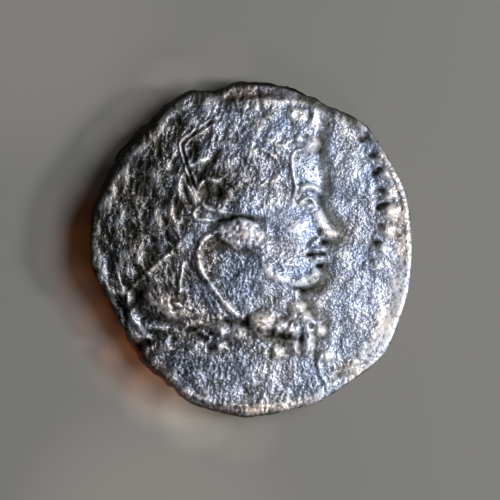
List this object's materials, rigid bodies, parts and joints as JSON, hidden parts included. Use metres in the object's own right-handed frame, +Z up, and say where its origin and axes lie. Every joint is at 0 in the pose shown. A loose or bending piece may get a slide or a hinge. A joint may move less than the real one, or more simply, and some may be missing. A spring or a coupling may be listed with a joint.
{
  "type": "ancient bronze coin",
  "caption": "Struck bronze coin lying head up: a head in a lion-scalp headdress in relief, part of a beaded border, worn rim, hammered irregular edge.",
  "frame": {"origin": "middle of the underside, on the surface the coin lies on, under the middle of its bounding box", "axes": "+Z up out of the head side, +Y towards the top of the head, +X the way the head faces"},
  "size_m": [0.018, 0.0186, 0.0033],
  "materials": {
    "patinated_bronze": "dark grey patina, worn bright and grainy on the high points, black on the edge"
  },
  "bodies": {
    "root": {"coin": "patinated_bronze"}
  },
  "joints": []
}
